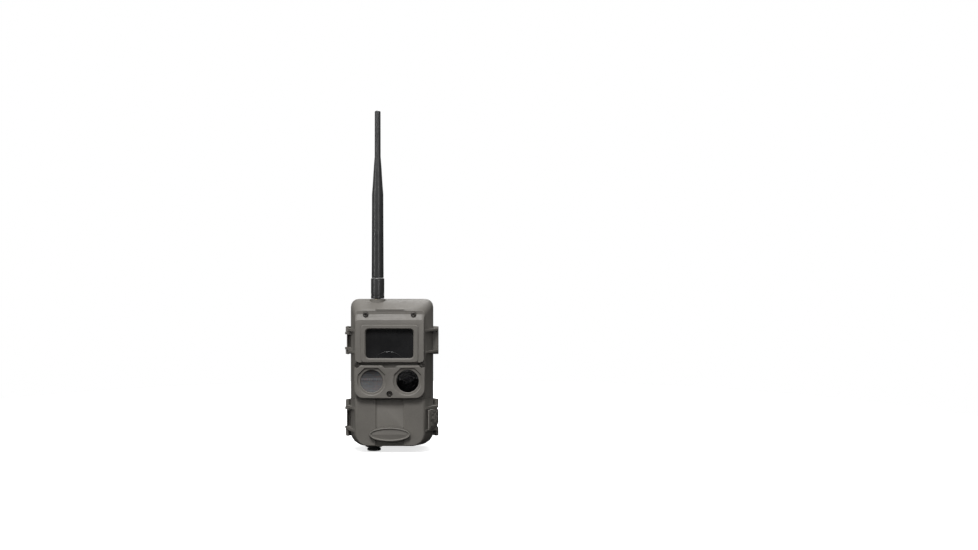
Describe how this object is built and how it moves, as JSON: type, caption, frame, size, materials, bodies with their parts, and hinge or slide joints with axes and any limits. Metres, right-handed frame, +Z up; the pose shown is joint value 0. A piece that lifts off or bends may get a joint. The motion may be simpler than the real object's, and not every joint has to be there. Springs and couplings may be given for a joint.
{
  "type": "trail camera",
  "caption": "Trail camera in a hinged two-part case with a flash window, motion sensor and lens on the front, a whip antenna on top and a strap bracket behind.",
  "frame": {"origin": "centre of the bracket's face that rests on the tree, at half the case's height", "axes": "+X to the right seen from the front, +Y from the camera's front to the tree, +Z up along the antenna"},
  "size_m": [0.0955, 0.0784, 0.3451],
  "materials": {
    "taupe_plastic": "fine moulded grain, matt",
    "bezel_plastic": "fine moulded grain, matt",
    "black_plastic": "matt",
    "smoked_filter": "dark translucent filter, polished",
    "pir_film": "milky ribbed film",
    "clear_glass": "polished",
    "antenna_plastic": "satin",
    "black_rubber": "matt",
    "dark_steel": "darkened",
    "bright_steel": "plated",
    "brass": "turned",
    "circuit_board": "solder resist",
    "cell_jacket": "printed film",
    "display_glass": "polished",
    "key_rubber": "matt",
    "card_plastic": "satin"
  },
  "bodies": {
    "rear_case": {"rear_case": "taupe_plastic", "tree_bracket": "taupe_plastic", "bracket_screw_1": "bright_steel", "bracket_screw_2": "bright_steel", "bracket_screw_3": "bright_steel", "bracket_screw_4": "bright_steel", "tripod_insert": "brass", "battery_tray": "black_plastic", "battery_cell_1": "cell_jacket", "battery_cell_2": "cell_jacket", "battery_cell_3": "cell_jacket", "battery_cell_4": "cell_jacket", "contact_spring_left": "bright_steel", "contact_spring_right": "bright_steel", "contact_plate_bottom": "bright_steel", "contact_plate_top_1": "bright_steel", "contact_plate_top_2": "bright_steel", "hinge_pin_upper": "dark_steel", "hinge_pin_lower": "dark_steel", "latch_pin": "dark_steel"},
    "door": {"front_housing": "taupe_plastic", "lower_cover": "taupe_plastic", "flash_bezel": "bezel_plastic", "flash_window": "smoked_filter", "sensor_bezel": "bezel_plastic", "pir_lens": "pir_film", "camera_window": "clear_glass", "front_screw_1": "dark_steel", "front_screw_2": "dark_steel", "front_screw_3": "dark_steel", "front_screw_4": "dark_steel", "front_screw_5": "dark_steel", "badge_plate": "bezel_plastic", "lens_barrel": "black_plastic", "lens_element": "clear_glass", "pir_sensor": "bright_steel", "flash_board": "circuit_board", "photocell_hood": "black_plastic", "main_board": "circuit_board", "inner_cover": "black_plastic", "case_seal": "black_rubber", "cover_screw_1": "bright_steel", "cover_screw_2": "bright_steel", "cover_screw_3": "bright_steel", "cover_screw_4": "bright_steel", "display": "display_glass", "card_slot": "bright_steel", "antenna_jack": "brass", "power_socket": "black_plastic"},
    "latch": {"latch_lever": "taupe_plastic"},
    "antenna": {"antenna_collar": "antenna_plastic", "antenna_whip": "antenna_plastic"},
    "plug": {"port_plug": "black_rubber"},
    "card": {"memory_card": "card_plastic"},
    "switch": {"power_switch": "key_rubber"},
    "button_up": {"button_up": "key_rubber"},
    "button_down": {"button_down": "key_rubber"},
    "button_left": {"button_left": "key_rubber"},
    "button_right": {"button_right": "key_rubber"},
    "button_ok": {"button_ok": "key_rubber"}
  },
  "joints": [
    {"name": "door_hinge", "type": "hinge", "parent": "rear_case", "child": "door", "pos_m": [-0.0452, -0.045, 0], "axis": [0, 0, -1], "range_deg": [0, 140]},
    {"name": "latch_pivot", "type": "hinge", "parent": "rear_case", "child": "latch", "pos_m": [0.0452, -0.0424, -0.0466], "axis": [0, 0, 1], "range_deg": [0, 100]},
    {"name": "antenna_turn", "type": "hinge", "parent": "door", "child": "antenna", "pos_m": [-0.0141, -0.052, 0.074], "axis": [0, 0, 1], "continuous": true},
    {"name": "plug_pull", "type": "slide", "parent": "door", "child": "plug", "axis": [0, 0, -1], "range_m": [0, 0.012]},
    {"name": "card_push", "type": "slide", "parent": "door", "child": "card", "axis": [1, 0, 0], "range_m": [-0.0008, 0.006]},
    {"name": "switch_slide", "type": "slide", "parent": "door", "child": "switch", "axis": [1, 0, 0], "range_m": [0, 0.004]},
    {"name": "button_up_press", "type": "slide", "parent": "door", "child": "button_up", "axis": [0, -1, 0], "range_m": [0, 0.0006], "stiffness_N_per_m": 900, "springref_m": -0.0002},
    {"name": "button_down_press", "type": "slide", "parent": "door", "child": "button_down", "axis": [0, -1, 0], "range_m": [0, 0.0006], "stiffness_N_per_m": 900, "springref_m": -0.0002},
    {"name": "button_left_press", "type": "slide", "parent": "door", "child": "button_left", "axis": [0, -1, 0], "range_m": [0, 0.0006], "stiffness_N_per_m": 900, "springref_m": -0.0002},
    {"name": "button_right_press", "type": "slide", "parent": "door", "child": "button_right", "axis": [0, -1, 0], "range_m": [0, 0.0006], "stiffness_N_per_m": 900, "springref_m": -0.0002},
    {"name": "button_ok_press", "type": "slide", "parent": "door", "child": "button_ok", "axis": [0, -1, 0], "range_m": [0, 0.0006], "stiffness_N_per_m": 900, "springref_m": -0.0002}
  ]
}
